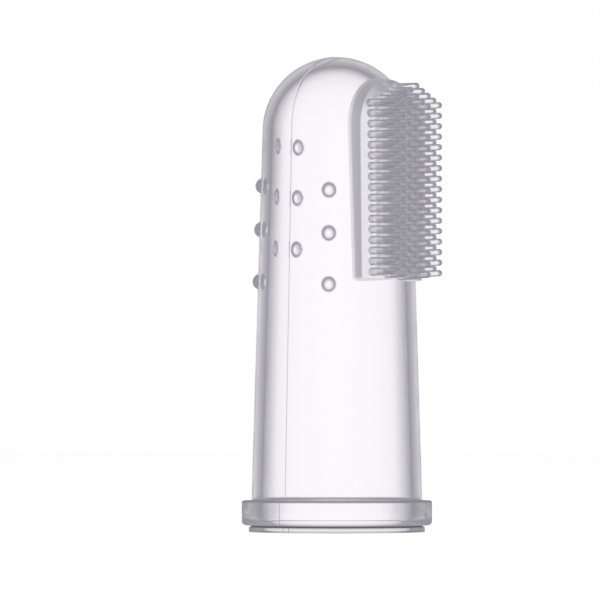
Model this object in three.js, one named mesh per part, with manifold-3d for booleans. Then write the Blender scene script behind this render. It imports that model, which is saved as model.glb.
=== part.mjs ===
// Finger toothbrush for pets: a soft, clear thimble with a bristle pad on one side and massage nubs on
// the other. Millimetres, +Z up along the sleeve. The pad faces -Y and the nubs face +Y. The origin is
// the centre of the footprint, on the plane that the mouth stands on.
import * as THREE from 'three';
import { mergeVertices } from 'three/addons/utils/BufferGeometryUtils.js';
import Module from 'manifold-3d';

const wasm = await Module();
wasm.setup();

// ---- Driving dimensions ----
const TOTAL_HEIGHT = 57.5;
const ROUND_SEGMENTS = 48;
const FIT_GAP = 0.05; // between features that are one moulding on the real brush

// Sleeve: a cone that runs tangent into a round dome, with a cavity of the same form inside.
const DOME_RADIUS = 9;
const SLEEVE_TAPER_DEG = 1.7;
const CAVITY_DOME_RADIUS = 7.85;
const CAVITY_TAPER_DEG = 1.6;
const DOME_TOP_WALL = 1.2;

// Mouth: a thin lip that the brush stands on, and a thick rounded bead above it.
const LIP_HEIGHT = 0.7;
const LIP_OUTER_RADIUS = 10.65;
const LIP_BORE_RADIUS = 8.95;
const LIP_EDGE = 0.2;
const RIM_OUTER_RADIUS = 11.52;
const RIM_TOP_Z = 3.8;
const RIM_TOP_ROUNDING = 0.3;
const RIM_FOOT_ROUNDING = 0.5;

// Pad: an upright slab with an arched top. Its face is crowned from side to side, and also towards the
// top of the arch, so that its edge stays equally proud all the way round.
const PAD_BOTTOM_Z = 30.3;
const PAD_TOP_Z = 54.4;
const PAD_HALF_WIDTH = 5.74;
const PAD_CORNER_RADIUS = 0.15;
const PAD_FACE_REACH = 9.62; // from the sleeve's axis to the middle of the face
const PAD_CROWN_RADIUS = 17;
const PAD_BACK_REACH = 5.5; // the uncut slab starts here, inside the sleeve

// Bristles: nine upright columns. Every second column sits half a pitch higher, and the tips lie in one
// upright plane.
const COLUMN_COUNT = 9;
const COLUMN_PITCH = 1.09;
const BRISTLE_PITCH = 1.263;
const LOWEST_BRISTLE_Z = 30.7;
const OUTER_COLUMN_RISE = 0.44; // how far the rows sag in the middle
const ROW_SAG_POWER = 1.25;
const TOP_MARGIN = 0.5; // least distance from a bristle's axis to the pad's arched edge
const BRISTLE_TIP_REACH = 12.72; // from the sleeve's axis to the plane of the tips
const BRISTLE_ROOT_RADIUS = 0.485;
const BRISTLE_TIP_RADIUS = 0.38;
const BRISTLE_SIDES = 6; // a hexagon with the area of the round section
const ROOT_CORD_RADIUS = 0.3;
const ROOT_CORD_SIDES = 8;
const ROOT_CORD_OVERHANG = 0.35;
const ROOT_CLEARANCE = 0.06; // the column leans without touching the pad

// Massage nubs: low domes in four columns of three.
const NUB_HEIGHT = 0.68;
const NUB_BASE_RADIUS = 0.93;
const NUB_COLUMNS = [
  { name: 'left_outer', angleDeg: 44, heights: [30.25, 36.55, 41.85] },
  { name: 'left_inner', angleDeg: 15.5, heights: [34.45, 40.75, 46.95] },
  { name: 'right_inner', angleDeg: -15.5, heights: [34.45, 40.75, 46.95] },
  { name: 'right_outer', angleDeg: -44, heights: [30.25, 36.55, 41.85] },
];
const NUB_ROWS = ['bottom', 'middle', 'top'];

// ---- Worked out from the dimensions ----
const radians = THREE.MathUtils.degToRad;
const domeCentreZ = TOTAL_HEIGHT - DOME_RADIUS;
const cavityCentreZ = TOTAL_HEIGHT - DOME_TOP_WALL - CAVITY_DOME_RADIUS;
const sleeveFootZ = LIP_HEIGHT + FIT_GAP;
const padArchZ = PAD_TOP_Z - PAD_HALF_WIDTH;
const footprintShift = (BRISTLE_TIP_REACH - RIM_OUTER_RADIUS) / 2; // from its centre to the sleeve's axis
const nubSphereRadius = (NUB_BASE_RADIUS ** 2 + NUB_HEIGHT ** 2) / (2 * NUB_HEIGHT);

// Radius at height z of a cone that is tangent to a dome.
function coneRadius(domeRadius, centreZ, taperDeg, z) {
  const taper = radians(taperDeg);
  const tangentZ = centreZ + domeRadius * Math.sin(taper);
  return domeRadius * Math.cos(taper) + (tangentZ - z) * Math.tan(taper);
}

function sleeveRadius(z) {
  return coneRadius(DOME_RADIUS, domeCentreZ, SLEEVE_TAPER_DEG, z);
}

function cavityRadius(z) {
  return coneRadius(CAVITY_DOME_RADIUS, cavityCentreZ, CAVITY_TAPER_DEG, z);
}

// Distance from the sleeve's axis to the pad's face below the arch, x to the side of its middle.
function padFaceReach(x) {
  return PAD_FACE_REACH - PAD_CROWN_RADIUS + Math.sqrt(PAD_CROWN_RADIUS ** 2 - x ** 2);
}

// ---- Shape helpers ----
function arcPoints(centreR, centreZ, radius, fromDeg, toDeg, steps) {
  const points = [];
  for (let i = 0; i <= steps; i += 1) {
    const angle = radians(fromDeg + ((toDeg - fromDeg) * i) / steps);
    points.push(new THREE.Vector2(centreR + radius * Math.cos(angle), centreZ + radius * Math.sin(angle)));
  }
  return points;
}

// Turns a profile of radius and height about the upright axis.
function revolve(profile, segments = ROUND_SEGMENTS) {
  const geometry = new THREE.LatheGeometry(profile, segments);
  geometry.rotateX(Math.PI / 2);
  return geometry;
}

// A solid for cutting and joining, from a closed geometry.
function toSolid(geometry) {
  const bare = geometry.clone();
  bare.deleteAttribute('normal');
  bare.deleteAttribute('uv');
  const merged = mergeVertices(bare);
  const index = merged.index.array;
  const triangles = [];
  for (let i = 0; i < index.length; i += 3) {
    const [a, b, c] = [index[i], index[i + 1], index[i + 2]];
    if (a !== b && b !== c && c !== a) {
      triangles.push(a, b, c);
    }
  }
  return new wasm.Manifold(new wasm.Mesh({
    numProp: 3,
    vertProperties: new Float32Array(merged.attributes.position.array),
    triVerts: new Uint32Array(triangles),
  }));
}

function toGeometry(solid) {
  const mesh = solid.getMesh();
  const geometry = new THREE.BufferGeometry();
  geometry.setAttribute('position', new THREE.BufferAttribute(mesh.vertProperties, 3));
  geometry.setIndex(new THREE.BufferAttribute(mesh.triVerts, 1));
  geometry.computeVertexNormals();
  return geometry;
}

// ---- Materials ----
const clearSilicone = new THREE.MeshStandardMaterial({
  color: 0xf0eff6, roughness: 0.12, metalness: 0, transparent: true, opacity: 0.35,
});
const padSilicone = new THREE.MeshStandardMaterial({
  color: 0xdddce6, roughness: 0.2, metalness: 0, transparent: true, opacity: 0.5,
});
const bristleSilicone = new THREE.MeshStandardMaterial({
  color: 0xa9a7b4, roughness: 0.25, metalness: 0, transparent: true, opacity: 0.7,
});

const brush = new THREE.Group();
brush.position.y = footprintShift;

function addMesh(name, geometry, material) {
  const mesh = new THREE.Mesh(geometry, material);
  mesh.name = name;
  brush.add(mesh);
}

// ---- Sleeve and mouth ----
function sleeveGeometry() {
  return revolve([
    ...arcPoints(0, cavityCentreZ, CAVITY_DOME_RADIUS, 90, CAVITY_TAPER_DEG, 10),
    new THREE.Vector2(cavityRadius(sleeveFootZ), sleeveFootZ),
    new THREE.Vector2(sleeveRadius(sleeveFootZ), sleeveFootZ),
    ...arcPoints(0, domeCentreZ, DOME_RADIUS, SLEEVE_TAPER_DEG, 90, 12),
  ]);
}

// The sleeve filled solid and grown by the gap, for cutting what sits on it.
function sleeveEnvelope() {
  return toSolid(revolve([
    new THREE.Vector2(0, 0),
    new THREE.Vector2(sleeveRadius(0) + FIT_GAP, 0),
    ...arcPoints(0, domeCentreZ, DOME_RADIUS + FIT_GAP, SLEEVE_TAPER_DEG, 90, 12),
  ]));
}

function rimGeometry() {
  const footEdge = RIM_OUTER_RADIUS - RIM_FOOT_ROUNDING;
  const topEdge = RIM_OUTER_RADIUS - RIM_TOP_ROUNDING;
  const profile = [
    new THREE.Vector2(sleeveRadius(sleeveFootZ) + FIT_GAP, sleeveFootZ),
    ...arcPoints(footEdge, sleeveFootZ + RIM_FOOT_ROUNDING, RIM_FOOT_ROUNDING, -90, 0, 3),
    ...arcPoints(topEdge, RIM_TOP_Z - RIM_TOP_ROUNDING, RIM_TOP_ROUNDING, 0, 90, 3),
    new THREE.Vector2(sleeveRadius(RIM_TOP_Z) + FIT_GAP, RIM_TOP_Z),
  ];
  profile.push(profile[0].clone());
  return revolve(profile);
}

function lipGeometry() {
  const profile = [
    new THREE.Vector2(LIP_BORE_RADIUS + LIP_EDGE, 0),
    new THREE.Vector2(LIP_OUTER_RADIUS - LIP_EDGE, 0),
    new THREE.Vector2(LIP_OUTER_RADIUS, LIP_EDGE),
    new THREE.Vector2(LIP_OUTER_RADIUS, LIP_HEIGHT),
    new THREE.Vector2(LIP_BORE_RADIUS, LIP_HEIGHT),
    new THREE.Vector2(LIP_BORE_RADIUS, LIP_EDGE),
  ];
  profile.push(profile[0].clone());
  return revolve(profile);
}

// ---- Pad ----
function padOutline() {
  const outline = new THREE.Shape();
  const corner = PAD_HALF_WIDTH - PAD_CORNER_RADIUS;
  const cornerZ = PAD_BOTTOM_Z + PAD_CORNER_RADIUS;
  outline.moveTo(-corner, PAD_BOTTOM_Z);
  outline.lineTo(corner, PAD_BOTTOM_Z);
  outline.absarc(corner, cornerZ, PAD_CORNER_RADIUS, -Math.PI / 2, 0, false);
  outline.absarc(0, padArchZ, PAD_HALF_WIDTH, 0, Math.PI, false);
  outline.absarc(-corner, cornerZ, PAD_CORNER_RADIUS, Math.PI, Math.PI * 1.5, false);
  return outline;
}

function padGeometry(envelope) {
  const slab = new THREE.ExtrudeGeometry(padOutline(), {
    depth: PAD_FACE_REACH - PAD_BACK_REACH + 1, bevelEnabled: false, curveSegments: 14,
  });
  slab.translate(0, 0, PAD_BACK_REACH);
  slab.rotateX(Math.PI / 2);
  const crown = new THREE.CapsuleGeometry(PAD_CROWN_RADIUS, 2 * padArchZ, 44, 160);
  crown.rotateX(Math.PI / 2);
  crown.translate(0, PAD_CROWN_RADIUS - PAD_FACE_REACH, 0);
  return toGeometry(toSolid(slab).intersect(toSolid(crown)).subtract(envelope));
}

// ---- Bristles ----
// Heights of the bristles of the column that stands x to the side of the pad's middle.
function bristleHeights(place, x) {
  const side = Math.abs(place) / ((COLUMN_COUNT - 1) / 2);
  const halfStep = Math.abs(place) % 2 === 1 ? BRISTLE_PITCH / 2 : 0;
  const archTop = padArchZ + Math.sqrt((PAD_HALF_WIDTH - TOP_MARGIN) ** 2 - x ** 2);
  const lowest = LOWEST_BRISTLE_Z + OUTER_COLUMN_RISE * side ** ROW_SAG_POWER + halfStep;
  const heights = [];
  for (let z = lowest; z < archTop; z += BRISTLE_PITCH) {
    heights.push(z);
  }
  return heights;
}

// One bristle along -Y from its hinge line, tapered, with a rounded tip.
function bristleGeometry(length) {
  const sameArea = Math.sqrt((2 * Math.PI) / (BRISTLE_SIDES * Math.sin((2 * Math.PI) / BRISTLE_SIDES)));
  const rootRadius = BRISTLE_ROOT_RADIUS * sameArea;
  const tipRadius = BRISTLE_TIP_RADIUS * sameArea;
  const bristle = new THREE.LatheGeometry([
    new THREE.Vector2(0, 0),
    new THREE.Vector2(rootRadius, 0),
    new THREE.Vector2(tipRadius, length - 0.75 * tipRadius),
    new THREE.Vector2(tipRadius * 0.6, length - 0.2 * tipRadius),
    new THREE.Vector2(0, length),
  ], BRISTLE_SIDES);
  bristle.rotateX(Math.PI);
  return bristle;
}

// A column's bristles stand on a thin root cord, whose axis is the line that the column leans about.
function columnGeometry(place) {
  const x = place * COLUMN_PITCH;
  const hingeOffset = ROOT_CLEARANCE + ROOT_CORD_RADIUS;
  const hingeY = -(padFaceReach(x) + hingeOffset);
  const heights = bristleHeights(place, x);
  const lowest = heights[0] - ROOT_CORD_OVERHANG;
  const highest = heights[heights.length - 1] + ROOT_CORD_OVERHANG;
  const cord = new THREE.CylinderGeometry(
    ROOT_CORD_RADIUS, ROOT_CORD_RADIUS, highest - lowest, ROOT_CORD_SIDES,
  );
  cord.rotateX(Math.PI / 2);
  cord.translate(x, hingeY, (lowest + highest) / 2);
  let column = toSolid(cord);
  heights.forEach((z) => {
    const bristle = bristleGeometry(BRISTLE_TIP_REACH + hingeY);
    bristle.translate(x, hingeY, z);
    column = column.add(toSolid(bristle));
  });
  return toGeometry(column);
}

// ---- Massage nubs ----
// A low dome that faces away from the pad, angleDeg round from the middle of the nub side.
function nubGeometry(angleDeg, z, envelope) {
  const centreReach = sleeveRadius(z) + NUB_HEIGHT - nubSphereRadius;
  const ball = new THREE.SphereGeometry(nubSphereRadius, 12, 8);
  ball.rotateX(Math.PI / 2);
  ball.translate(
    centreReach * Math.sin(radians(angleDeg)),
    centreReach * Math.cos(radians(angleDeg)),
    z,
  );
  return toGeometry(toSolid(ball).subtract(envelope));
}

// ---- Assembly ----
const envelope = sleeveEnvelope();
addMesh('finger_sleeve', sleeveGeometry(), clearSilicone);
addMesh('mouth_rim', rimGeometry(), clearSilicone);
addMesh('mouth_lip', lipGeometry(), clearSilicone);
addMesh('brush_pad', padGeometry(envelope), padSilicone);
for (let column = 1; column <= COLUMN_COUNT; column += 1) {
  const place = column - (COLUMN_COUNT + 1) / 2;
  addMesh(`bristle_column_${column}`, columnGeometry(place), bristleSilicone);
}
NUB_COLUMNS.forEach(({ name, angleDeg, heights }) => {
  heights.forEach((z, row) => {
    addMesh(`massage_nub_${name}_${NUB_ROWS[row]}`, nubGeometry(angleDeg, z, envelope), clearSilicone);
  });
});

export default brush;
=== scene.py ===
"""Clear silicone finger toothbrush for pets, standing on its mouth: the looks around the CAD frame."""
import math

import bmesh
import bpy
import numpy as np
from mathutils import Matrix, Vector


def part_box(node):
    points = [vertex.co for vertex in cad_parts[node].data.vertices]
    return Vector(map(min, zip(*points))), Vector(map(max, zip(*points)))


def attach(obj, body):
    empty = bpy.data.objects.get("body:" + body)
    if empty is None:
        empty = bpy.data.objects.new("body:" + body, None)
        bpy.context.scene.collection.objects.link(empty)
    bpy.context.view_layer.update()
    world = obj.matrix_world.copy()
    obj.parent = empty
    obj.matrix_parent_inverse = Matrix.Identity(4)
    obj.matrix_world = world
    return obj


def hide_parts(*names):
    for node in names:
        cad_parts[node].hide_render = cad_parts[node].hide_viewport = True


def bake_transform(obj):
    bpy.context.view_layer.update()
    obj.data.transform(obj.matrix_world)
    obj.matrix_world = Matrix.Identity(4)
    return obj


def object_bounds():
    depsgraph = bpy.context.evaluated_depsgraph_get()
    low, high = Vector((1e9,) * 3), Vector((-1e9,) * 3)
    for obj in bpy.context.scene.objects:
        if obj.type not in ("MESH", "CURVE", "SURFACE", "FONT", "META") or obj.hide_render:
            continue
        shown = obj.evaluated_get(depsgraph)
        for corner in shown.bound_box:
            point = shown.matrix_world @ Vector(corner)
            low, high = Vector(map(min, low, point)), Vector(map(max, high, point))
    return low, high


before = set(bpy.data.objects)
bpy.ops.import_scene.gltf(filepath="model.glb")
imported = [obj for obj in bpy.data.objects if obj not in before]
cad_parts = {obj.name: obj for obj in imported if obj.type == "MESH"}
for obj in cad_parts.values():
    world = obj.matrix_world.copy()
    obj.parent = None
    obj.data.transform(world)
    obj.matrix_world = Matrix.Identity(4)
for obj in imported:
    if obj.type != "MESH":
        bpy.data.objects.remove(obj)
cad_lo, cad_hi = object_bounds()

MM = 0.001

# ---- Sizes from the frame ----
sleeve_lo, sleeve_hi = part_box("finger_sleeve")
rim_lo, rim_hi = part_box("mouth_rim")
lip_lo, lip_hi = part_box("mouth_lip")
pad_lo, pad_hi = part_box("brush_pad")

AXIS_Y = (sleeve_lo.y + sleeve_hi.y) / 2
TOP_Z = sleeve_hi.z
LIP_TOP_Z = lip_hi.z
LIP_OUTER = (lip_hi.x - lip_lo.x) / 2
RIM_OUTER = (rim_hi.x - rim_lo.x) / 2
RIM_TOP_Z = rim_hi.z
PAD_HALF = (pad_hi.x - pad_lo.x) / 2
PAD_BOTTOM_Z = pad_lo.z
PAD_ARCH_Z = pad_hi.z - PAD_HALF
PAD_REACH = AXIS_Y - pad_lo.y
COLUMNS = [f"bristle_column_{i}" for i in range(1, 10)]
NUBS = sorted(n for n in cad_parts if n.startswith("massage_nub_"))

# ---- Form of the moulding, as in the CAD source ----
DOME_RADIUS = 9 * MM
SLEEVE_TAPER = math.radians(1.7)
CAVITY_RADIUS = 7.85 * MM
CAVITY_TAPER = math.radians(1.6)
DOME_TOP_WALL = 1.2 * MM
LIP_BORE = 8.95 * MM
PAD_CORNER = 0.15 * MM
PAD_CROWN = 17 * MM
BRISTLE_PITCH = 1.263 * MM
BRISTLE_ROOT = 0.485 * MM
BRISTLE_SIDES = 6  # the CAD's bristles are six-sided with the area of the round ones
BRISTLE_TIP = 0.38 * MM
NUB_HEIGHT = 0.68 * MM
NUB_BASE = 0.93 * MM

# ---- Fine form that only the looks carry ----
RIM_TOP_ROUNDING = 0.28 * MM
RIM_FOOT_ROUNDING = 0.5 * MM
RIM_FILLET = 0.14 * MM
GROOVE_DEPTH = 0.35 * MM
GROOVE_HALF = 0.1 * MM
LIP_EDGE = 0.12 * MM
PARTING_TURN = math.radians(2.5)
PARTING_HEIGHT = 0.035 * MM
PARTING_WIDTH = 0.07 * MM
PARTING_DOME_WIDTH = 0.16 * MM
PARTING_FAR_SHARE = 0.4  # how high the far line stands beside the near one
PAD_LEAN = math.tan(math.radians(0.65))
PAD_BEVEL = 0.14 * MM
PAD_DRAFT = 0.05 * MM
PAD_FILLET = 0.22 * MM
LEAST_WALL = 0.02 * MM  # the pad's side wall is taken to be at least this high
EDGE_SHARE = 0.35  # the most that a bevel or a fillet takes of the wall's height
NUB_FLARE = 0.1 * MM
NUB_ROUND_SHARE = 0.93  # how much of a nub's dome is round before it flares into the sleeve
NUB_FLARE_POWER = 1.2  # how quickly the flare runs outwards as it sinks to the sleeve
BRISTLE_FLARE = 0.03 * MM
BORE_TURN_OUT = 3 * MM  # height over which the cavity widens to meet the lip
RIM_BOND_INSET = 0.03 * MM  # how far inside a fillet's foot the hidden face under a feature ends
PAD_BOND_INSET = 0.1 * MM
NUB_BOND_INSET = 0.08 * MM
MERGE_DISTANCE = 0.0005 * MM

# ---- Fineness of the meshes ----
ROUND_STEPS = 240
PARTING_SPAN = 2.6  # ridge widths to either side of a parting line that have closer steps
PARTING_POINTS = 31
PARTING_CLEAR = 1.1  # even steps keep this many spans away from the closer ones
SLEEVE_FINE_BELOW = 1.5 * MM  # the sleeve's rows are closer from this far below the pad
SLEEVE_LOW_ROWS = 60
SLEEVE_HIGH_ROWS = 110
SLEEVE_DOME_ROWS = 80
CAVITY_ROWS = 34
CAVITY_DOME_ROWS = 32
RIM_WALL_ROWS = 8
RIM_FOOT_ROWS = 8
RIM_TOP_ROWS = 6
RIM_FILLET_ROWS = 5
RIM_CONTACT_ROWS = 12
LIP_EDGE_ROWS = 4
PAD_STEP = 0.16 * MM
PAD_FACE_RINGS = 56
PAD_BACK_RINGS = 40
PAD_BEVEL_RINGS = 6
PAD_WALL_RINGS = 6
PAD_FILLET_RINGS = 7
CORNER_POINTS = 9
NUB_STEPS = 40
NUB_DOME_RINGS = 14
NUB_FLARE_RINGS = 6
NUB_BASE_RINGS = 6
BRISTLE_STEPS = 16
BRISTLE_FLARE_RINGS = 5
BRISTLE_SHAFT_RINGS = 8
BRISTLE_TIP_RINGS = 7

DOME_CENTRE_Z = TOP_Z - DOME_RADIUS
CAVITY_CENTRE_Z = TOP_Z - DOME_TOP_WALL - CAVITY_RADIUS
RUBBER, BOND = 0, 1  # material slots: the outer skin, and where one feature is moulded onto the next


# ---- Surfaces shared by the pieces ----
def cone_radius(dome_radius, centre_z, taper, z):
    """Radius at height z of a cone that is tangent to a dome."""
    tangent_z = centre_z + dome_radius * math.sin(taper)
    return dome_radius * math.cos(taper) + (tangent_z - z) * math.tan(taper)


def sleeve_radius(z):
    """Outer radius of the sleeve at height z, on the cone or on the dome."""
    z = np.asarray(z, float)
    cone = cone_radius(DOME_RADIUS, DOME_CENTRE_Z, SLEEVE_TAPER, z)
    rise = np.clip(z - DOME_CENTRE_Z, 0, DOME_RADIUS)
    dome = np.sqrt(DOME_RADIUS**2 - rise**2)
    return np.where(z > DOME_CENTRE_Z + DOME_RADIUS * math.sin(SLEEVE_TAPER), dome, cone)


def sleeve_reach(x, z):
    """Distance towards -Y from the sleeve's axis to its outer surface."""
    return np.sqrt(np.maximum(sleeve_radius(z) ** 2 - np.asarray(x) ** 2, 0))


def face_reach(x, z):
    """Distance towards -Y from the sleeve's axis to the pad's face. It is crowned from side to side and
    over the arch, and leans back a little towards the top."""
    spread = np.hypot(x, np.maximum(np.asarray(z) - PAD_ARCH_Z, 0))
    crown = PAD_CROWN - np.sqrt(PAD_CROWN**2 - spread**2)
    return PAD_REACH - crown - PAD_LEAN * (z - PAD_BOTTOM_Z)


def pad_distance(x, z):
    """Distance in the front view from the pad's outline, negative inside it."""
    arch = np.hypot(x, z - PAD_ARCH_Z) - PAD_HALF
    across = np.abs(x) - (PAD_HALF - PAD_CORNER)
    below = (PAD_BOTTOM_Z + PAD_CORNER) - z
    outside = np.hypot(np.maximum(across, 0), np.maximum(below, 0))
    inside = np.minimum(np.maximum(across, below), 0)
    return np.where(z > PAD_ARCH_Z, arch, outside + inside - PAD_CORNER)


def edge_sizes(x, z):
    """Bevel and fillet of the pad's side wall, smaller where the wall is low."""
    height = np.maximum(face_reach(x, z) - sleeve_reach(x, z), LEAST_WALL)
    return np.minimum(PAD_BEVEL, EDGE_SHARE * height), np.minimum(PAD_FILLET, EDGE_SHARE * height)


# ---- Mesh helpers ----
class Body:
    """Collects vertices and faces of one piece and makes the closed mesh object."""

    def __init__(self):
        self.points = []
        self.faces = []
        self.slots = []
        self.count = 0

    def rows(self, points, slot_of=None, slot=RUBBER, closed=True):
        """Adds a grid of points[row][column] joined by quads; slot_of takes the face centres."""
        points = np.asarray(points, float)
        n_rows, n_columns = points.shape[:2]
        start = self.count
        self.points.append(points.reshape(-1, 3))
        self.count += n_rows * n_columns
        row, column = np.meshgrid(
            np.arange(n_rows - 1), np.arange(n_columns if closed else n_columns - 1), indexing="ij"
        )
        after = (column + 1) % n_columns
        quads = np.stack(
            [
                row * n_columns + column,
                row * n_columns + after,
                (row + 1) * n_columns + after,
                (row + 1) * n_columns + column,
            ],
            axis=-1,
        ).reshape(-1, 4)
        self.faces.append(quads + start)
        if slot_of is None:
            self.slots.append(np.full(len(quads), slot))
        else:
            centres = points.reshape(-1, 3)[quads].mean(1)
            self.slots.append(np.where(slot_of(centres), BOND, RUBBER))

    def make(self, name):
        """Merges shared points and gives the closed object with smooth shading."""
        mesh = bpy.data.meshes.new(name)
        mesh.from_pydata(np.vstack(self.points).tolist(), [], np.vstack(self.faces).tolist())
        mesh.polygons.foreach_set("material_index", np.concatenate(self.slots).astype(np.int32))
        bm = bmesh.new()
        bm.from_mesh(mesh)
        bmesh.ops.remove_doubles(bm, verts=bm.verts, dist=MERGE_DISTANCE)
        bmesh.ops.dissolve_degenerate(bm, edges=bm.edges, dist=MERGE_DISTANCE)
        bmesh.ops.recalc_face_normals(bm, faces=bm.faces)
        bm.to_mesh(mesh)
        bm.free()
        mesh.shade_smooth()
        piece = bpy.data.objects.new(name, mesh)
        bpy.context.scene.collection.objects.link(piece)
        return piece


def arc(centre_r, centre_z, radius, start_deg, end_deg, steps):
    """Points of radius and height along an arc."""
    angles = np.radians(np.linspace(start_deg, end_deg, steps + 1))
    return [(centre_r + radius * math.cos(a), centre_z + radius * math.sin(a)) for a in angles]


def round_angles(steps):
    """Angles round the axis from +X, closer together by the two parting lines."""
    even = np.linspace(0, 2 * math.pi, steps, endpoint=False)
    close = PARTING_SPAN * PARTING_DOME_WIDTH / DOME_RADIUS
    near = np.linspace(-close, close, PARTING_POINTS)
    apart = np.abs((even + math.pi / 2) % math.pi - math.pi / 2)
    angles = np.concatenate([even[apart > PARTING_CLEAR * close], near % (2 * math.pi), near + math.pi])
    return PARTING_TURN + np.sort(angles)


def parting_ridge(angles, radius, height):
    """Height of the thin ridge where the two halves of the mould met, wider over the dome."""
    along = np.sin(angles - PARTING_TURN) * radius
    dome = np.clip((height - DOME_CENTRE_Z) / DOME_RADIUS, 0, 1)
    width = PARTING_WIDTH + (PARTING_DOME_WIDTH - PARTING_WIDTH) * dome
    share = np.where(np.cos(angles - PARTING_TURN) > 0, PARTING_FAR_SHARE, 1)
    return PARTING_HEIGHT * share * np.exp(-((along / width) ** 2))


def turned(profile, angles, ridge=False):
    """The grid of points of a profile of radius and height turned about the sleeve's axis."""
    profile = np.array(profile, float)
    radius, height = profile[:, :1], profile[:, 1:]
    if ridge:
        run = np.gradient(profile, axis=0)
        run /= np.linalg.norm(run, axis=1, keepdims=True)
        lift = parting_ridge(angles[None, :], radius, height)
        radius = radius + lift * np.abs(run[:, 1:])
        height = height + lift * np.abs(run[:, :1]) * (profile[:, 1:] > DOME_CENTRE_Z)
    x = radius * np.cos(angles)[None, :]
    y = AXIS_Y + radius * np.sin(angles)[None, :]
    return np.stack([x, y, np.broadcast_to(height, x.shape)], axis=-1)


# ---- Sleeve, rim and lip ----
def nub_place(node):
    """Angle from +X and height of a massage nub."""
    lo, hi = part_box(node)
    centre = (lo + hi) / 2
    return math.atan2(centre.y - AXIS_Y, centre.x), centre.z


def sleeve_bonds(centres):
    """Where the rim, the pad and the nubs are moulded onto the sleeve's outer skin."""
    x, y, z = centres[:, 0], centres[:, 1] - AXIS_Y, centres[:, 2]
    bonded = z < RIM_TOP_Z + RIM_FILLET - RIM_BOND_INSET
    _, fillet = edge_sizes(x, z)
    under_pad = pad_distance(x, z) < PAD_DRAFT + fillet - PAD_BOND_INSET
    bonded |= under_pad & (y < 0)
    angle = np.arctan2(y, x)
    for node in NUBS:
        nub_angle, nub_z = nub_place(node)
        across = (angle - nub_angle) * sleeve_radius(nub_z)
        bonded |= np.hypot(across, z - nub_z) < NUB_BASE + NUB_FLARE - NUB_BOND_INSET
    return bonded


def make_sleeve():
    body = Body()
    angles = round_angles(ROUND_STEPS)
    taper_deg = math.degrees(SLEEVE_TAPER)
    cone_top = DOME_CENTRE_Z + DOME_RADIUS * math.sin(SLEEVE_TAPER)
    low = np.linspace(LIP_TOP_Z, PAD_BOTTOM_Z - SLEEVE_FINE_BELOW, SLEEVE_LOW_ROWS)
    high = np.linspace(low[-1], cone_top, SLEEVE_HIGH_ROWS)[1:]
    outer = [(float(sleeve_radius(z)), z) for z in np.concatenate([low, high])]
    outer += arc(0, DOME_CENTRE_Z, DOME_RADIUS, taper_deg, 90, SLEEVE_DOME_ROWS)[1:]
    body.rows(turned(outer, angles, ridge=True), slot_of=sleeve_bonds)
    cavity_deg = math.degrees(CAVITY_TAPER)
    bore_top = CAVITY_CENTRE_Z + CAVITY_RADIUS * math.sin(CAVITY_TAPER)
    bore_z = np.linspace(LIP_TOP_Z, bore_top, CAVITY_ROWS)
    bore_r = cone_radius(CAVITY_RADIUS, CAVITY_CENTRE_Z, CAVITY_TAPER, bore_z)
    turn_out = np.clip(1 - (bore_z - LIP_TOP_Z) / BORE_TURN_OUT, 0, 1) ** 2
    bore_r = bore_r + (LIP_BORE - bore_r[0]) * turn_out
    inner = list(zip(bore_r, bore_z))
    inner += arc(0, CAVITY_CENTRE_Z, CAVITY_RADIUS, cavity_deg, 90, CAVITY_DOME_ROWS)[1:]
    body.rows(turned(inner, angles))
    body.rows(turned([outer[0], inner[0]], angles), slot=BOND)
    return body.make("silicone_finger_sleeve")


def make_rim():
    body = Body()
    angles = round_angles(ROUND_STEPS)
    foot_z = LIP_TOP_Z + GROOVE_HALF
    fillet_r = float(sleeve_radius(RIM_TOP_Z)) + RIM_FILLET
    skin = [(LIP_OUTER - GROOVE_DEPTH, LIP_TOP_Z), (LIP_OUTER, foot_z)]
    wall_foot, wall_top = foot_z + RIM_FOOT_ROUNDING, RIM_TOP_Z - RIM_TOP_ROUNDING
    skin += arc(RIM_OUTER - RIM_FOOT_ROUNDING, wall_foot, RIM_FOOT_ROUNDING, -90, 0, RIM_FOOT_ROWS)
    wall_z = np.linspace(wall_foot, wall_top, RIM_WALL_ROWS)
    skin += [(RIM_OUTER, z) for z in wall_z[1:-1]]
    skin += arc(RIM_OUTER - RIM_TOP_ROUNDING, wall_top, RIM_TOP_ROUNDING, 0, 90, RIM_TOP_ROWS)
    skin += arc(fillet_r, RIM_TOP_Z + RIM_FILLET, RIM_FILLET, 270, 180, RIM_FILLET_ROWS)
    grid = turned(skin, angles, ridge=True)
    body.rows(grid)
    contact_z = np.linspace(skin[-1][1], LIP_TOP_Z, RIM_CONTACT_ROWS)
    contact = turned([(float(sleeve_radius(z)), z) for z in contact_z], angles)
    contact[0] = grid[-1]
    body.rows(np.concatenate([contact, grid[:1]]), slot=BOND)
    return body.make("silicone_mouth_rim")


def make_lip():
    body = Body()
    angles = round_angles(ROUND_STEPS)
    shoulder_z = LIP_TOP_Z - GROOVE_HALF
    skin = [(LIP_OUTER - GROOVE_DEPTH, LIP_TOP_Z), (LIP_OUTER - 0.5 * LIP_EDGE, shoulder_z)]
    skin += [(LIP_OUTER, shoulder_z - 0.5 * LIP_EDGE)]
    skin += arc(LIP_OUTER - LIP_EDGE, LIP_EDGE, LIP_EDGE, 0, -90, LIP_EDGE_ROWS)
    skin += arc(LIP_BORE + LIP_EDGE, LIP_EDGE, LIP_EDGE, -90, -180, LIP_EDGE_ROWS)
    skin += [(LIP_BORE, LIP_TOP_Z)]
    grid = turned(skin, angles, ridge=True)
    body.rows(grid)
    body.rows(np.stack([grid[-1], grid[0]]), slot=BOND)
    return body.make("silicone_mouth_lip")


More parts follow.
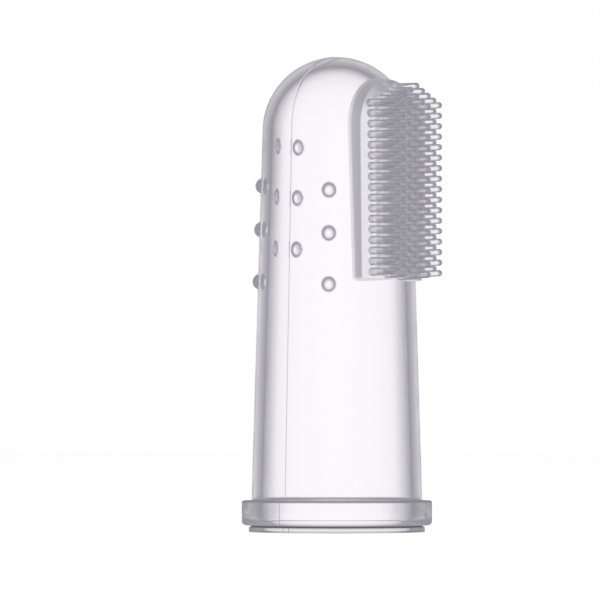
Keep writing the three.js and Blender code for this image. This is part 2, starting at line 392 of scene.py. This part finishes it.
# ---- Pad ----
def pad_outline(step):
    """Points x, z round the pad's outline with their outward normals."""
    def round_part(centre_x, centre_z, radius, angles):
        across, up = np.cos(angles), np.sin(angles)
        return np.stack([centre_x + radius * across, centre_z + radius * up, across, up], axis=-1)

    corner_x = PAD_HALF - PAD_CORNER
    corner_z = PAD_BOTTOM_Z + PAD_CORNER
    side = np.linspace(corner_z, PAD_ARCH_Z, int((PAD_ARCH_Z - corner_z) / step))
    bottom = np.linspace(-corner_x, corner_x, int(2 * corner_x / step))
    arch_angles = np.linspace(0, math.pi, int(math.pi * PAD_HALF / step))
    left_angles = np.linspace(math.pi, 1.5 * math.pi, CORNER_POINTS)
    right_angles = np.linspace(-0.5 * math.pi, 0, CORNER_POINTS)
    return np.vstack([
        [(PAD_HALF, z, 1, 0) for z in side[:-1]],
        round_part(0, PAD_ARCH_Z, PAD_HALF, arch_angles),
        [(-PAD_HALF, z, -1, 0) for z in side[::-1][1:]],
        round_part(-corner_x, corner_z, PAD_CORNER, left_angles[1:]),
        [(x, PAD_BOTTOM_Z, 0, -1) for x in bottom[1:-1]],
        round_part(corner_x, corner_z, PAD_CORNER, right_angles[:-1]),
    ])


def pad_grid(outline, offset, shares, reach):
    """Rings from the pad's upright middle line out to its outline moved by offset."""
    x, z, nx, nz = outline.T
    edge_x, edge_z = x + nx * offset, z + nz * offset
    middle_z = np.clip(edge_z, PAD_BOTTOM_Z + PAD_HALF, PAD_ARCH_Z)
    rings = []
    for share in shares:
        ring_x = edge_x * share
        ring_z = middle_z + (edge_z - middle_z) * share
        rings.append(np.stack([ring_x, AXIS_Y - reach(ring_x, ring_z), ring_z], axis=-1))
    return rings


def bristle_places(column):
    """x, and the heights, of the bristles that a CAD column holds."""
    lo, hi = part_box(column)
    side_angle = 2 * math.pi / BRISTLE_SIDES
    corner = BRISTLE_ROOT * math.sqrt(side_angle / math.sin(side_angle))
    first, last = lo.z + corner, hi.z - corner
    count = round((last - first) / BRISTLE_PITCH) + 1
    return (lo.x + hi.x) / 2, np.linspace(first, last, count)


def make_pad():
    body = Body()
    outline = pad_outline(PAD_STEP)
    x, z, nx, nz = outline.T
    bevel, fillet = edge_sizes(x, z)
    roots = np.array([(bx, bz) for c in COLUMNS for bx, zs in [bristle_places(c)] for bz in zs])

    def under_bristles(centres):
        apart = np.hypot(centres[:, 0, None] - roots[None, :, 0], centres[:, 2, None] - roots[None, :, 1])
        return apart.min(1) < BRISTLE_ROOT + 0.5 * BRISTLE_FLARE

    face = pad_grid(outline, -bevel, np.linspace(0, 1, PAD_FACE_RINGS), face_reach)
    body.rows(face, slot_of=under_bristles)
    wall = []
    for a in np.radians(np.linspace(0, 90, PAD_BEVEL_RINGS)):
        offset = -bevel + bevel * math.sin(a)
        px, pz = x + nx * offset, z + nz * offset
        wall.append(np.stack([px, AXIS_Y - face_reach(px, pz) + bevel * (1 - math.cos(a)), pz], axis=-1))
    foot_x, foot_z = x + nx * PAD_DRAFT, z + nz * PAD_DRAFT
    foot_reach = sleeve_reach(foot_x, foot_z) + fillet
    for share in np.linspace(0, 1, PAD_WALL_RINGS)[1:-1]:
        px, pz = x + nx * PAD_DRAFT * share, z + nz * PAD_DRAFT * share
        reach = (face_reach(x, z) - bevel) * (1 - share) + foot_reach * share
        wall.append(np.stack([px, AXIS_Y - reach, pz], axis=-1))
    for a in np.radians(np.linspace(0, 90, PAD_FILLET_RINGS)):
        offset = PAD_DRAFT + fillet * (1 - math.cos(a))
        px, pz = x + nx * offset, z + nz * offset
        wall.append(np.stack([px, AXIS_Y - sleeve_reach(px, pz) - fillet * (1 - math.sin(a)), pz], axis=-1))
    body.rows(wall)
    back = pad_grid(outline, PAD_DRAFT + fillet, np.linspace(0, 1, PAD_BACK_RINGS), sleeve_reach)
    body.rows(back, slot=BOND)
    return body.make("silicone_brush_pad")


# ---- Nubs and bristles ----
def on_sleeve(angle, z, across, up, height):
    """Points that stand height above the sleeve, across and up from a place on it."""
    here_z = z + up
    radius = sleeve_radius(here_z) + height
    here = angle + across / sleeve_radius(z)
    return np.stack([radius * np.cos(here), AXIS_Y + radius * np.sin(here), here_z], axis=-1)


def make_nub(node):
    angle, z = nub_place(node)
    body = Body()
    turn = np.linspace(0, 2 * math.pi, NUB_STEPS, endpoint=False)
    sphere = (NUB_BASE**2 + NUB_HEIGHT**2) / (2 * NUB_HEIGHT)
    rim_angle = math.asin(min(NUB_BASE / sphere, 1))
    skin = []
    for a in np.linspace(0, rim_angle * NUB_ROUND_SHARE, NUB_DOME_RINGS):
        skin.append((sphere * math.sin(a), NUB_HEIGHT - sphere * (1 - math.cos(a))))
    last_r, last_h = skin[-1]
    for share in np.linspace(0, 1, NUB_FLARE_RINGS)[1:]:
        radius = last_r + (NUB_BASE + NUB_FLARE - last_r) * share**NUB_FLARE_POWER
        skin.append((radius, last_h * (1 - share) ** 2))
    body.rows([on_sleeve(angle, z, r * np.cos(turn), r * np.sin(turn), h) for r, h in skin])
    base_radii = skin[-1][0] * np.linspace(1, 0, NUB_BASE_RINGS)
    body.rows([on_sleeve(angle, z, r * np.cos(turn), r * np.sin(turn), 0) for r in base_radii], slot=BOND)
    return body.make("silicone_" + node)


def bristle_profile(length):
    """Radius and distance from the root of one bristle, with a flared root and a rounded tip."""
    profile = []
    for a in np.radians(np.linspace(0, 90, BRISTLE_FLARE_RINGS)):
        radius = BRISTLE_ROOT + BRISTLE_FLARE * (1 - math.sin(a))
        profile.append((radius, BRISTLE_FLARE * (1 - math.cos(a))))
    shoulder = length - BRISTLE_TIP
    for share in np.linspace(0, 1, BRISTLE_SHAFT_RINGS)[1:]:
        radius = BRISTLE_ROOT + (BRISTLE_TIP - BRISTLE_ROOT) * share
        profile.append((radius, BRISTLE_FLARE + (shoulder - BRISTLE_FLARE) * share))
    for a in np.radians(np.linspace(0, 90, BRISTLE_TIP_RINGS))[1:]:
        profile.append((BRISTLE_TIP * math.cos(a), shoulder + BRISTLE_TIP * math.sin(a)))
    return profile


def make_column(node):
    body = Body()
    x, heights = bristle_places(node)
    lo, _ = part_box(node)
    turn = np.linspace(0, 2 * math.pi, BRISTLE_STEPS, endpoint=False)
    for z in heights:
        root = float(face_reach(x, z))
        profile = bristle_profile(AXIS_Y - lo.y - root)
        skin = []
        for radius, out in profile:
            px, pz = x + radius * np.cos(turn), z + radius * np.sin(turn)
            reach = root + out if out > BRISTLE_FLARE else face_reach(px, pz) + out
            skin.append(np.stack([px, AXIS_Y - reach * np.ones_like(px), pz], axis=-1))
        body.rows(skin)
        base_r = profile[0][0]
        base = []
        for share in (1, 0.5, 0):
            px, pz = x + base_r * share * np.cos(turn), z + base_r * share * np.sin(turn)
            base.append(np.stack([px, AXIS_Y - face_reach(px, pz), pz], axis=-1))
        body.rows(base, slot=BOND)
    return body.make("silicone_" + node)


# ---- Node helpers ----
def lavender(brightness):
    """A grey that turns a little lavender as it gets darker."""
    green = brightness * (0.965 + 0.025 * brightness)
    blue = brightness * (1.12 - 0.11 * brightness)
    return (brightness, green, blue, 1)


def new_tree(name):
    """A material of its own name with an empty node tree."""
    mat = bpy.data.materials.new(name)
    mat.use_nodes = True
    mat.node_tree.nodes.clear()
    return mat, mat.node_tree


def remap(tree, value, from_min, from_max, to_min=0, to_max=1):
    """A straight-line map of a value from one range to another, held at its ends."""
    node = tree.nodes.new("ShaderNodeMapRange")
    node.inputs["From Min"].default_value = from_min
    node.inputs["From Max"].default_value = from_max
    node.inputs["To Min"].default_value = to_min
    node.inputs["To Max"].default_value = to_max
    tree.links.new(value, node.inputs["Value"])
    return node.outputs["Result"]


def calculate(tree, operation, *values):
    """A sum, product or the like of node outputs and numbers."""
    node = tree.nodes.new("ShaderNodeMath")
    node.operation = operation
    for socket, value in zip(node.inputs, values):
        if isinstance(value, (int, float)):
            socket.default_value = value
        else:
            tree.links.new(value, socket)
    return node.outputs["Value"]


def place_of(tree):
    """X, Y and Z of the shaded point, which a piece keeps while its body moves."""
    coords = tree.nodes.new("ShaderNodeTexCoord")
    split = tree.nodes.new("ShaderNodeSeparateXYZ")
    tree.links.new(coords.outputs["Object"], split.inputs["Vector"])
    return split.outputs


def askew(tree):
    """0 where a surface faces the ray that meets it, 1 where the ray grazes it."""
    node = tree.nodes.new("ShaderNodeLayerWeight")
    node.inputs["Blend"].default_value = 0.5
    return node.outputs["Facing"]


def ray(tree, quality):
    """What is known of the ray that meets the surface."""
    return tree.nodes.new("ShaderNodeLightPath").outputs[quality]


def seen_by_eye(tree, share):
    """A share that counts only for the camera's own rays."""
    return calculate(tree, "MULTIPLY", share, ray(tree, "Is Camera Ray"))


def lay_over(tree, skin, share, brightness):
    """Mixes a share of an even, glowing lavender grey over a shader: this is how light and shade are
    painted on the silicone.
    """
    grey = tree.nodes.new("ShaderNodeEmission")
    mix = tree.nodes.new("ShaderNodeMixShader")
    grey.inputs["Color"].default_value = lavender(brightness)
    tree.links.new(share, mix.inputs["Fac"])
    tree.links.new(skin, mix.inputs[1])
    tree.links.new(grey.outputs["Emission"], mix.inputs[2])
    return mix.outputs["Shader"]


# ---- Materials ----
SILICONE_IOR = 1.41
BUMP_DISTANCE = 0.1 * MM
UNEVEN_POLISH = (0.6, 1.4)  # how far the roughness runs either way from its mean
MOTTLE_FROM = 0.35  # below this noise the painted shade at edges is at its thinnest
MOTTLE_TO = 0.6  # above this noise it is full
MOTTLE_LEAST = 0.6  # its share where it is thinnest
EDGE_BAND_FROM = 0.3  # how askew the skin is seen where an edge band of painted shade starts
EDGE_BAND_TO = 0.55  # and where it is full
BAND_CORE = 0.4  # the share of a band's half width that has its full strength

CORE_INSIDE = 0.25  # how askew a bristle is seen where its core starts to fade
CORE_OUTSIDE = 0.5  # and where it ends
GLOW_START = 0.3 * MM  # from the bristles' tips
GLOW_AT_ARCH_TOP = 0.2
ROOT_LIGHT = 0.6  # the least glow at the roots of the inner columns
ROOT_LIGHT_FADE = 0.1 * MM  # how fast it fades towards the outer columns
ROOT_LIGHT_FROM = 0.9  # where along a bristle it starts, from 0 near the tip to 1 at the pad's face
ROOT_LIGHT_TO = 0.95  # and where it is full
# How the glow in a bristle runs from near its tip (0) to the pad's face (1).
ROOT_GLOW = ((0, 0.02), (0.4, 0.24), (0.65, 0.42), (0.82, 0.62), (0.92, 0.5), (1, 0.15))


def along_curve(tree, value, stops):
    """A smooth curve through stops."""
    node = tree.nodes.new("ShaderNodeFloatCurve")
    points = node.mapping.curves[0].points
    points[0].location, points[1].location = stops[0], stops[-1]
    for stop in stops[1:-1]:
        points.new(*stop)
    node.mapping.update()
    tree.links.new(value, node.inputs["Value"])
    return node.outputs["Value"]


def root_glow(tree, skin, strength, brightness):
    """Light that the clear pad passes into the bristles' roots. It is strongest in a bristle's core near
    the pad's face, fills the whole root in the inner columns, and is weaker under the top of the arch."""
    place = place_of(tree)
    # The crowned face falls back by about x squared over twice the crown's radius.
    crown = calculate(tree, "MULTIPLY", place["X"], place["X"])
    from_face = calculate(tree, "MULTIPLY_ADD", crown, -0.5 / PAD_CROWN, place["Y"])
    along = remap(tree, from_face, cad_lo.y + GLOW_START, AXIS_Y - PAD_REACH)
    core = remap(tree, askew(tree), CORE_INSIDE, CORE_OUTSIDE, strength, 0)
    height = remap(tree, place["Z"], PAD_ARCH_Z, PAD_ARCH_Z + PAD_HALF, 1, GLOW_AT_ARCH_TOP)
    outer_lo, outer_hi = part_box(COLUMNS[-1])
    outer_x = (outer_lo.x + outer_hi.x) / 2 - BRISTLE_ROOT
    sideways = calculate(tree, "ABSOLUTE", place["X"])
    inner = remap(tree, sideways, outer_x - ROOT_LIGHT_FADE, outer_x, ROOT_LIGHT, 0)
    near_root = remap(tree, along, ROOT_LIGHT_FROM, ROOT_LIGHT_TO)
    glow = calculate(tree, "MULTIPLY", along_curve(tree, along, ROOT_GLOW), core)
    glow = calculate(tree, "MAXIMUM", glow, calculate(tree, "MULTIPLY", inner, near_root))
    glow = calculate(tree, "MULTIPLY", glow, height)
    return lay_over(tree, skin, seen_by_eye(tree, glow), brightness)


def painted_light_shade_bands(tree, skin, bands):
    """Painted bands of grey at given heights, as the eye sees them: painted shade in creases, grooves, at
    edges and under the arch, and painted light at the pad's foot. Each holds its height, half width, share
    and brightness, and whether it shows only at edges, where the skin is seen askew."""
    for height, half, share, brightness, at_edges in bands:
        above = calculate(tree, "SUBTRACT", place_of(tree)["Z"], height)
        apart = calculate(tree, "ABSOLUTE", above)
        band = remap(tree, apart, BAND_CORE * half, half, share, 0)
        if at_edges:
            edge = remap(tree, askew(tree), EDGE_BAND_FROM, EDGE_BAND_TO)
            band = calculate(tree, "MULTIPLY", band, edge)
        skin = lay_over(tree, skin, seen_by_eye(tree, band), brightness)
    return skin


def clear_skin(tree, noise, tint, roughness, bump):
    """Refracting silicone with a mould's fine uneven polish."""
    glass = tree.nodes.new("ShaderNodeBsdfPrincipled")
    bumps = tree.nodes.new("ShaderNodeBump")
    least, most = UNEVEN_POLISH
    polish = remap(tree, noise, 0, 1, roughness * least, roughness * most)
    glass.inputs["Base Color"].default_value = (*tint, 1)
    glass.inputs["IOR"].default_value = SILICONE_IOR
    glass.inputs["Transmission Weight"].default_value = 1
    bumps.inputs["Strength"].default_value = bump
    bumps.inputs["Distance"].default_value = BUMP_DISTANCE
    tree.links.new(noise, bumps.inputs["Height"])
    tree.links.new(polish, glass.inputs["Roughness"])
    tree.links.new(bumps.outputs["Normal"], glass.inputs["Normal"])
    return glass.outputs["BSDF"]


def silicone(name, tint, roughness, bump, painted_grey, crossings, edge, grain=260, glow=None, bands=()):
    """Clear silicone with a painted grey. An even glowing grey stands in for the light that the silicone
    scatters and traps; it builds up over a number of crossings of its surfaces, and is painted shade where
    a surface is seen askew: edge holds where that starts and ends, and its share."""
    mat, tree = new_tree(name)
    coords = tree.nodes.new("ShaderNodeTexCoord")
    noise = tree.nodes.new("ShaderNodeTexNoise")
    out = tree.nodes.new("ShaderNodeOutputMaterial")
    noise.inputs["Scale"].default_value = grain
    noise.inputs["Detail"].default_value = 3
    tree.links.new(coords.outputs["Object"], noise.inputs["Vector"])
    uneven = noise.outputs["Fac"]
    skin = clear_skin(tree, uneven, tint, roughness, bump)
    if glow:
        skin = root_glow(tree, skin, *glow)
    # Painted grey: a glow in place of trapped light after many crossings, and painted shade where the skin
    # is seen askew.
    trapped_light_share = remap(tree, ray(tree, "Ray Depth"), *crossings)
    edge_from, edge_to, edge_share = edge
    edge_shade_share = remap(tree, askew(tree), edge_from, edge_to, 0, edge_share)
    mottle = remap(tree, uneven, MOTTLE_FROM, MOTTLE_TO, MOTTLE_LEAST, 1)
    share = calculate(tree, "MAXIMUM", trapped_light_share, calculate(tree, "MULTIPLY", edge_shade_share, mottle))
    skin = painted_light_shade_bands(tree, lay_over(tree, skin, share, painted_grey), bands)
    tree.links.new(skin, out.inputs["Surface"])
    return mat


def bond():
    """Where the silicone runs on from one feature into the next there is no surface to see."""
    mat, tree = new_tree("silicone_bond")
    out = tree.nodes.new("ShaderNodeOutputMaterial")
    clear = tree.nodes.new("ShaderNodeBsdfTransparent")
    tree.links.new(clear.outputs["BSDF"], out.inputs["Surface"])
    return mat


# ---- The materials of the moulding ----
WALL_TINT = (0.995, 0.992, 0.998)
PAD_TINT = (0.95, 0.945, 0.965)
BRISTLE_TINT = (0.93, 0.925, 0.95)
BRISTLE_GLOW = (1.0, 0.72)  # its strength and its brightness

# Painted shade bands (and at the pad's foot painted light): height, half width, share, brightness, and
# whether only at edges.
DOME_SHADE = (TOP_Z, 24 * MM, 0.28, 0.2, True)
RIM_CREASE_SHADE = (RIM_TOP_Z - 0.08 * MM, 0.2 * MM, 0.6, 0.2, False)
GROOVE_SHADE = (LIP_TOP_Z, 0.16 * MM, 0.85, 0.08, False)
LIP_FOOT_SHADE = (lip_lo.z + 0.1 * MM, 0.3 * MM, 0.4, 0.2, False)
ARCH_SHADE = (pad_hi.z, 0.75 * PAD_HALF, 0.55, 0.36, False)
PAD_FOOT_LIGHT = (PAD_BOTTOM_Z, 0.2 * MM, 0.5, 0.85, False)

wall_mat = silicone(
    "silicone_clear",
    WALL_TINT,
    roughness=0.05,
    bump=0.05,
    painted_grey=0.31,
    crossings=(5, 12),
    edge=(0.58, 0.95, 0.64),
    bands=(DOME_SHADE,),
)
nub_mat = silicone(
    "silicone_nub",
    WALL_TINT,
    roughness=0.05,
    bump=0.05,
    painted_grey=0.38,
    crossings=(5, 12),
    edge=(0.6, 0.95, 0.6),
)
rim_mat = silicone(
    "silicone_rim",
    WALL_TINT,
    roughness=0.06,
    bump=0.08,
    painted_grey=0.3,
    crossings=(3, 9),
    edge=(0.4, 0.66, 0.92),
    grain=1100,
    bands=(RIM_CREASE_SHADE, GROOVE_SHADE, LIP_FOOT_SHADE),
)
pad_mat = silicone(
    "silicone_pad",
    PAD_TINT,
    roughness=0.08,
    bump=0.08,
    painted_grey=0.48,
    crossings=(-6, 14),
    edge=(0.6, 0.95, 0.4),
    bands=(ARCH_SHADE, PAD_FOOT_LIGHT),
)
bristle_mat = silicone(
    "silicone_bristle",
    BRISTLE_TINT,
    roughness=0.2,
    bump=0.05,
    painted_grey=0.33,
    crossings=(1, 9),
    edge=(0.6, 0.95, 0.2),
    glow=BRISTLE_GLOW,
)
bond_mat = bond()


# ---- Pieces ----
def finish_piece(piece, skin, node):
    """Gives a piece its two materials and hides the CAD node that it stands for."""
    piece.data.materials.append(skin)
    piece.data.materials.append(bond_mat)
    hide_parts(node)


def add_fixed(piece, skin, node):
    finish_piece(piece, skin, node)
    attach(piece, "sleeve_body")


def add_column(node):
    """Makes a bristle column, gives it its materials and bakes its transform into its mesh."""
    piece = make_column(node)
    finish_piece(piece, bristle_mat, node)
    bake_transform(piece)


add_fixed(make_sleeve(), wall_mat, "finger_sleeve")
add_fixed(make_rim(), rim_mat, "mouth_rim")
add_fixed(make_lip(), rim_mat, "mouth_lip")
add_fixed(make_pad(), pad_mat, "brush_pad")
for node in NUBS:
    add_fixed(make_nub(node), nub_mat, node)
for number, node in enumerate(COLUMNS, 1):
    add_column(node)


# ---- Stage: floor, camera, studio light ----
FLOOR_HALF = 3.0
FLOOR_GAP = 0.02 * MM
FLOOR_GREY = (0.2, 0.2, 0.2, 1)
FLOOR_GLOW = 0.9


def make_floor():
    """A pale floor that the silicone doesn't refract; its glow keeps it even."""
    half = FLOOR_HALF
    corners = [(-half, -half, 0), (half, -half, 0), (half, half, 0), (-half, half, 0)]
    mesh = bpy.data.meshes.new("floor")
    mesh.from_pydata(corners, [], [(0, 1, 2, 3)])
    floor = bpy.data.objects.new("floor", mesh)
    floor.location.z = lip_lo.z - FLOOR_GAP
    bpy.context.scene.collection.objects.link(floor)
    mat = bpy.data.materials.new("pale_floor")
    mat.use_nodes = True
    surface = mat.node_tree.nodes["Principled BSDF"]
    surface.inputs["Base Color"].default_value = FLOOR_GREY
    surface.inputs["Roughness"].default_value = 0.9
    surface.inputs["Specular IOR Level"].default_value = 0
    surface.inputs["Emission Color"].default_value = (1, 1, 1, 1)
    surface.inputs["Emission Strength"].default_value = FLOOR_GLOW
    mesh.materials.append(mat)
    floor.visible_transmission = False
    floor.visible_glossy = False


CAMERA_AZIMUTH = math.radians(-50.5)
CAMERA_DISTANCE = 0.56
CAMERA_Z = 11 * MM
VIEW_WIDTH = 72.66 * MM
AIM_LEFT = 4.46 * MM
AIM_Z = 28.05 * MM


def make_camera():
    back = Vector((math.sin(CAMERA_AZIMUTH), -math.cos(CAMERA_AZIMUTH), 0))
    right = Vector((math.cos(CAMERA_AZIMUTH), math.sin(CAMERA_AZIMUTH), 0))
    data = bpy.data.cameras.new("camera")
    camera = bpy.data.objects.new("camera", data)
    bpy.context.scene.collection.objects.link(camera)
    place = Vector((0, AXIS_Y, CAMERA_Z)) + back * CAMERA_DISTANCE
    aim = Vector((0, AXIS_Y, AIM_Z)) - right * AIM_LEFT
    camera.location = place
    camera.rotation_euler = (aim - place).to_track_quat("-Z", "Y").to_euler()
    data.lens = data.sensor_width * CAMERA_DISTANCE / VIEW_WIDTH
    data.clip_start = 0.01
    data.clip_end = 100
    bpy.context.scene.camera = camera
    return camera


def make_light(name, place, aim, size, power):
    data = bpy.data.lights.new(name, "AREA")
    data.size = size
    data.energy = power
    light = bpy.data.objects.new(name, data)
    light.location = place
    light.rotation_euler = (Vector(aim) - Vector(place)).to_track_quat("-Z", "Y").to_euler()
    light.visible_glossy = False
    light.visible_transmission = False
    bpy.context.scene.collection.objects.link(light)


# What the silicone sees round the camera's line of sight: degrees off it, and brightness.
BESIDE = ((0, 1.05), (8, 1.0), (13, 0.75), (25, 0.5), (45, 0.32), (90, 0.3), (180, 0.5))
ABOVE = ((0, 1.05), (12, 1.0), (20, 0.85), (28, 0.6), (45, 0.36), (90, 0.4), (180, 0.5))
ABOVE_GAIN = 4  # how fast the one gives way to the other with the height of the direction


def brightness_ramp(tree, share, stops):
    """A ramp from a share of half a turn to a faintly lavender brightness."""
    ramp = tree.nodes.new("ShaderNodeValToRGB")
    elements = ramp.color_ramp.elements
    while len(elements) < len(stops):
        elements.new(1)
    for element, (degrees, brightness) in zip(elements, stops):
        element.position = degrees / 180
        element.color = lavender(brightness)
    tree.links.new(share, ramp.inputs["Fac"])
    return ramp.outputs["Color"]


def studio_colour(tree, turn):
    """The backdrop's brightness by the direction's angle off the line of sight, and by its height."""
    coords = tree.nodes.new("ShaderNodeTexCoord")
    split = tree.nodes.new("ShaderNodeSeparateXYZ")
    blend = tree.nodes.new("ShaderNodeMix")
    coords.object = turn
    blend.data_type = "RGBA"
    tree.links.new(coords.outputs["Object"], split.inputs["Vector"])
    angle = calculate(tree, "ARCCOSINE", split.outputs["Z"])
    share = calculate(tree, "MULTIPLY_ADD", angle, -1 / math.pi, 1)
    height = remap(tree, split.outputs["Y"], 0, 1 / ABOVE_GAIN)
    tree.links.new(height, blend.inputs["Factor"])
    tree.links.new(brightness_ramp(tree, share, BESIDE), blend.inputs["A"])
    tree.links.new(brightness_ramp(tree, share, ABOVE), blend.inputs["B"])
    return blend.outputs["Result"]


def make_world(camera):
    """White to the eye. The silicone sees a bright backdrop with grey round it, turned with the camera."""
    turn = bpy.data.objects.new("studio_turn", None)
    bpy.context.scene.collection.objects.link(turn)
    follow = turn.constraints.new("COPY_ROTATION")
    follow.target = camera
    world = bpy.data.worlds.new("studio")
    bpy.context.scene.world = world
    world.use_nodes = True
    tree = world.node_tree
    tree.nodes.clear()
    out = tree.nodes.new("ShaderNodeOutputWorld")
    seen = tree.nodes.new("ShaderNodeBackground")
    studio = tree.nodes.new("ShaderNodeBackground")
    mix = tree.nodes.new("ShaderNodeMixShader")
    seen.inputs["Color"].default_value = (1, 1, 1, 1)
    tree.links.new(studio_colour(tree, turn), studio.inputs["Color"])
    tree.links.new(ray(tree, "Is Camera Ray"), mix.inputs["Fac"])
    tree.links.new(studio.outputs["Background"], mix.inputs[1])
    tree.links.new(seen.outputs["Background"], mix.inputs[2])
    tree.links.new(mix.outputs["Shader"], out.inputs["Surface"])


make_floor()
camera = make_camera()
make_world(camera)
make_light("overhead_softbox", place=(0, 0, 0.9), aim=(0, 0, 0), size=0.8, power=4)
make_light("front_softbox", place=(-0.7, -0.6, 0.5), aim=(0, 0, 0.03), size=0.5, power=2)

scene = bpy.context.scene
scene.view_settings.view_transform = "Standard"
scene.cycles.use_denoising = True
scene.cycles.max_bounces = 24
scene.cycles.transmission_bounces = 24
scene.cycles.glossy_bounces = 24
scene.cycles.transparent_max_bounces = 64
